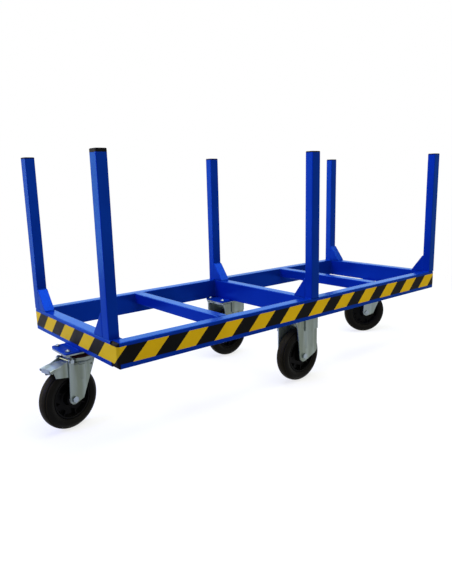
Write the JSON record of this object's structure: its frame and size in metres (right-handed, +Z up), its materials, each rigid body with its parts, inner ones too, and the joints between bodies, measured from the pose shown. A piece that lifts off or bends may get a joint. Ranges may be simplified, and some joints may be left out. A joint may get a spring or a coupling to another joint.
{
  "type": "long material trolley",
  "caption": "Long steel tube trolley for bars and profiles, with side uprights and hazard-striped rails, on fixed middle casters and swivel end casters, one with a brake pedal.",
  "frame": {"origin": "on the floor, under the middle of the trolley's bounding box", "axes": "+X along the trolley from the braked front end to the rear end, +Y to the far long side, +Z up"},
  "size_m": [1.7768, 0.6, 0.8466],
  "materials": {
    "blue_paint": "gloss ultramarine powder coat over welded steel tube",
    "black_plastic": "moulded black plastic, fine satin grain",
    "zinc_plated_steel": "bright zinc plating over pressed sheet steel",
    "black_rubber": "solid black rubber, smooth and slightly dull",
    "dark_red_seal": "dark red soft seal",
    "bearing_steel": "turned steel sleeve"
  },
  "bodies": {
    "frame": {"axle_far": "zinc_plated_steel", "axle_near": "zinc_plated_steel", "end_rail_front": "blue_paint", "end_rail_rear": "blue_paint", "fixed_fork_far": "zinc_plated_steel", "fixed_fork_near": "zinc_plated_steel", "gusset_front_far": "blue_paint", "gusset_front_near": "blue_paint", "gusset_middle_far": "blue_paint", "gusset_middle_near": "blue_paint", "gusset_rear_far": "blue_paint", "gusset_rear_near": "blue_paint", "light_crossbar_front": "blue_paint", "light_crossbar_rear": "blue_paint", "long_rail_far": "blue_paint", "long_rail_near": "blue_paint", "middle_crossbar": "blue_paint", "mounting_plate_far": "blue_paint", "mounting_plate_front": "blue_paint", "mounting_plate_near": "blue_paint", "mounting_plate_rear": "blue_paint", "rail_plug_front_far": "black_plastic", "rail_plug_front_near": "black_plastic", "rail_plug_rear_far": "black_plastic", "rail_plug_rear_near": "black_plastic", "swivel_plate_front": "zinc_plated_steel", "swivel_plate_rear": "zinc_plated_steel", "upright_cap_front_far": "black_plastic", "upright_cap_front_near": "black_plastic", "upright_cap_middle_far": "black_plastic", "upright_cap_middle_near": "black_plastic", "upright_cap_rear_far": "black_plastic", "upright_cap_rear_near": "black_plastic", "upright_front_far": "blue_paint", "upright_front_near": "blue_paint", "upright_middle_far": "blue_paint", "upright_middle_near": "blue_paint", "upright_rear_far": "blue_paint", "upright_rear_near": "blue_paint"},
    "swivel_front": {"swivel_fork_front": "zinc_plated_steel", "swivel_seal_front": "dark_red_seal", "axle_front": "zinc_plated_steel", "pedal_pin_front": "zinc_plated_steel"},
    "wheel_front": {"tyre_front": "black_rubber", "rim_front": "black_plastic", "bearing_front": "bearing_steel"},
    "brake_pedal": {"brake_pedal_front": "zinc_plated_steel"},
    "swivel_rear": {"swivel_fork_rear": "zinc_plated_steel", "swivel_seal_rear": "dark_red_seal", "axle_rear": "zinc_plated_steel"},
    "wheel_rear": {"tyre_rear": "black_rubber", "rim_rear": "black_plastic", "bearing_rear": "bearing_steel"},
    "wheel_near": {"tyre_near": "black_rubber", "rim_near": "black_plastic", "bearing_near": "bearing_steel"},
    "wheel_far": {"tyre_far": "black_rubber", "rim_far": "black_plastic", "bearing_far": "bearing_steel"}
  },
  "joints": [
    {"name": "swivel_front_turn", "type": "hinge", "parent": "frame", "child": "swivel_front", "pos_m": [-0.7391, 0, 0], "axis": [0, 0, 1], "continuous": true},
    {"name": "wheel_front_spin", "type": "hinge", "parent": "swivel_front", "child": "wheel_front", "pos_m": [-0.78996, -0.01081, 0.1], "axis": [-0.2079, 0.9781, 0], "continuous": true},
    {"name": "brake_pedal_press", "type": "hinge", "parent": "swivel_front", "child": "brake_pedal", "pos_m": [-0.79192, -0.01123, 0.2235], "axis": [0.2079, -0.9781, 0], "range_deg": [0, 8]},
    {"name": "swivel_rear_turn", "type": "hinge", "parent": "frame", "child": "swivel_rear", "pos_m": [0.8209, 0, 0], "axis": [0, 0, 1], "continuous": true},
    {"name": "wheel_rear_spin", "type": "hinge", "parent": "swivel_rear", "child": "wheel_rear", "pos_m": [0.77587, 0.026, 0.1], "axis": [0.5, 0.866, 0], "continuous": true},
    {"name": "wheel_near_spin", "type": "hinge", "parent": "frame", "child": "wheel_near", "pos_m": [0.0409, -0.2125, 0.1], "axis": [0, 1, 0], "continuous": true},
    {"name": "wheel_far_spin", "type": "hinge", "parent": "frame", "child": "wheel_far", "pos_m": [0.0409, 0.2125, 0.1], "axis": [0, 1, 0], "continuous": true}
  ]
}
